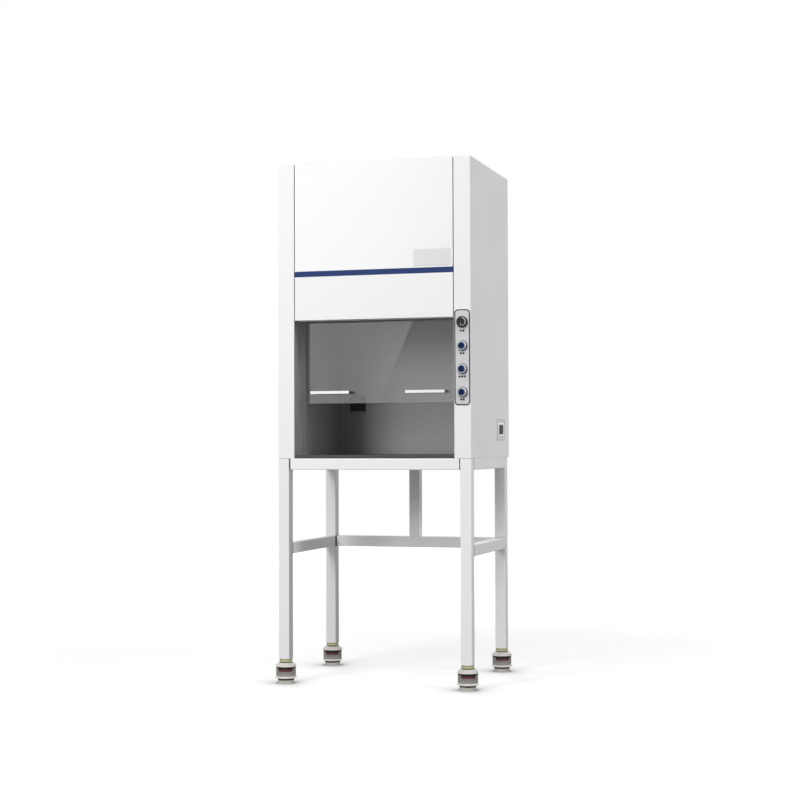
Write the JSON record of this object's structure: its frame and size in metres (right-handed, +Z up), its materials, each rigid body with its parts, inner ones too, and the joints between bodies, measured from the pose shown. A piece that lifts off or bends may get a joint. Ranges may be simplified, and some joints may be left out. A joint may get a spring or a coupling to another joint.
{
  "type": "ductless fume hood",
  "caption": "White ductless fume hood with a sliding glass sash, a control column and a carbon filter under a fan, on an open square-tube stand with levelling feet.",
  "frame": {"origin": "on the floor, under the middle of the outline", "axes": "+Z up, +Y to the back, +X to the hood's right as one faces it"},
  "size_m": [0.746, 0.61, 1.856],
  "materials": {
    "powder_white": "satin powder coat",
    "stripe_blue": "semi-gloss",
    "worktop_dark": "matt",
    "liner_grey": "fine textured powder coat",
    "tray_grey": "matt",
    "filter_board": "filter board frame round loose carbon",
    "fan_steel": "zinc coated",
    "motor_cast": "cast",
    "grille_white": "satin",
    "lamp_white": "gloss",
    "lamp_opal": "opal",
    "gland_black": "matt",
    "sash_pane": "clear, slightly grey",
    "handle_satin": "satin anodised",
    "carrier_alu": "mill finish",
    "guide_grey": "anodised",
    "belt_rubber": "matt",
    "shaft_steel": "turned",
    "weight_iron": "plain",
    "plate_grey": "printed film on plate, satin",
    "knob_black": "matt",
    "switch_chrome": "bright",
    "button_blue": "gloss",
    "socket_black": "matt",
    "breaker_grey": "matt",
    "lever_grey": "matt",
    "foot_metal": "zinc and grey lacquer",
    "foot_red_rubber": "matt"
  },
  "bodies": {
    "cabinet": {"leg_front_left": "powder_white", "leg_front_right": "powder_white", "leg_rear_left": "powder_white", "leg_rear_right": "powder_white", "top_rail_front": "powder_white", "top_rail_rear": "powder_white", "top_rail_left": "powder_white", "top_rail_right": "powder_white", "lower_rail_rear": "powder_white", "lower_rail_left": "powder_white", "lower_rail_right": "powder_white", "rear_upright": "powder_white", "side_panel_left": "powder_white", "side_panel_right": "powder_white", "back_panel": "powder_white", "top_panel": "powder_white", "upper_front_panel": "powder_white", "accent_strip": "stripe_blue", "valance_panel": "powder_white", "worktop": "worktop_dark", "liner_left": "liner_grey", "liner_right": "liner_grey", "liner_back": "liner_grey", "plenum_wall": "liner_grey", "filter_tray": "tray_grey", "carbon_filter": "filter_board", "fan_deck": "tray_grey", "fan_housing": "fan_steel", "fan_motor": "motor_cast", "exhaust_grille": "grille_white", "lamp_housing": "lamp_white", "lamp_tube": "lamp_opal", "cable_gland": "gland_black", "sash_guides": "guide_grey", "sash_belts": "belt_rubber", "control_plate": "plate_grey", "switch_bodies": "switch_chrome", "socket_base": "socket_black", "breaker_body": "breaker_grey"},
    "sash": {"sash_glass": "sash_pane", "sash_handles": "handle_satin", "sash_carriers": "carrier_alu"},
    "counterweights": {"counterweights": "weight_iron"},
    "sync_shaft": {"sync_shaft": "shaft_steel"},
    "lower_pulleys": {"lower_pulleys": "shaft_steel"},
    "fan_impeller": {"fan_impeller": "fan_steel"},
    "speed_knob": {"speed_knob": "knob_black"},
    "button_fan": {"button_fan": "button_blue"},
    "button_lamp": {"button_lamp": "button_blue"},
    "button_socket": {"button_socket": "button_blue"},
    "socket_lid": {"socket_lid": "socket_black"},
    "breaker_lever": {"breaker_lever": "lever_grey"},
    "foot_front_left": {"foot_front_left_mount": "foot_metal", "foot_front_left_rubber": "foot_red_rubber"},
    "foot_front_right": {"foot_front_right_mount": "foot_metal", "foot_front_right_rubber": "foot_red_rubber"},
    "foot_rear_left": {"foot_rear_left_mount": "foot_metal", "foot_rear_left_rubber": "foot_red_rubber"},
    "foot_rear_right": {"foot_rear_right_mount": "foot_metal", "foot_rear_right_rubber": "foot_red_rubber"}
  },
  "joints": [
    {"name": "sash_slide", "type": "slide", "parent": "cabinet", "child": "sash", "axis": [0, 0, 1], "range_m": [-0.183, 0.236]},
    {"name": "counterweight_slide", "type": "slide", "parent": "cabinet", "child": "counterweights", "axis": [0, 0, 1], "range_m": [-0.237, 0.184]},
    {"name": "sync_shaft_turn", "type": "hinge", "parent": "cabinet", "child": "sync_shaft", "pos_m": [0, -0.2, 1.802], "axis": [1, 0, 0], "range_deg": [-519.1, 519.1]},
    {"name": "lower_pulley_turn", "type": "hinge", "parent": "cabinet", "child": "lower_pulleys", "pos_m": [0, -0.2, 1.04], "axis": [1, 0, 0], "range_deg": [-519.1, 519.1]},
    {"name": "fan_turn", "type": "hinge", "parent": "cabinet", "child": "fan_impeller", "pos_m": [0, -0.018, 1.615], "axis": [1, 0, 0], "continuous": true},
    {"name": "speed_knob_turn", "type": "hinge", "parent": "cabinet", "child": "speed_knob", "pos_m": [0.325, -0.283, 1.272], "axis": [0, 1, 0], "range_deg": [0, 300]},
    {"name": "button_fan_press", "type": "slide", "parent": "cabinet", "child": "button_fan", "axis": [0, 1, 0], "range_m": [0, 0.003], "stiffness_N_per_m": 500, "springref_m": -0.002},
    {"name": "button_lamp_press", "type": "slide", "parent": "cabinet", "child": "button_lamp", "axis": [0, 1, 0], "range_m": [0, 0.003], "stiffness_N_per_m": 500, "springref_m": -0.002},
    {"name": "button_socket_press", "type": "slide", "parent": "cabinet", "child": "button_socket", "axis": [0, 1, 0], "range_m": [0, 0.003], "stiffness_N_per_m": 500, "springref_m": -0.002},
    {"name": "socket_lid_flip", "type": "hinge", "parent": "cabinet", "child": "socket_lid", "pos_m": [-0.222, 0.2077, 1.035], "axis": [-1, 0, 0], "range_deg": [0, 85], "stiffness_Nm_per_rad": 0.01, "springref_deg": -17.19},
    {"name": "breaker_lever_flip", "type": "hinge", "parent": "cabinet", "child": "breaker_lever", "pos_m": [0.35, 0.156, 0.902], "axis": [0, 0, 1], "range_deg": [-44, 0]},
    {"name": "foot_front_left_screw", "type": "slide", "parent": "cabinet", "child": "foot_front_left", "axis": [0, 0, -1], "range_m": [0, 0.02]},
    {"name": "foot_front_right_screw", "type": "slide", "parent": "cabinet", "child": "foot_front_right", "axis": [0, 0, -1], "range_m": [0, 0.02]},
    {"name": "foot_rear_left_screw", "type": "slide", "parent": "cabinet", "child": "foot_rear_left", "axis": [0, 0, -1], "range_m": [0, 0.02]},
    {"name": "foot_rear_right_screw", "type": "slide", "parent": "cabinet", "child": "foot_rear_right", "axis": [0, 0, -1], "range_m": [0, 0.02]}
  ],
  "couplings": [
    {"joint": "counterweight_slide", "follows": "sash_slide", "ratio": -1},
    {"joint": "sync_shaft_turn", "follows": "sash_slide", "rad_per_m": -38.023},
    {"joint": "lower_pulley_turn", "follows": "sash_slide", "rad_per_m": -38.023}
  ]
}
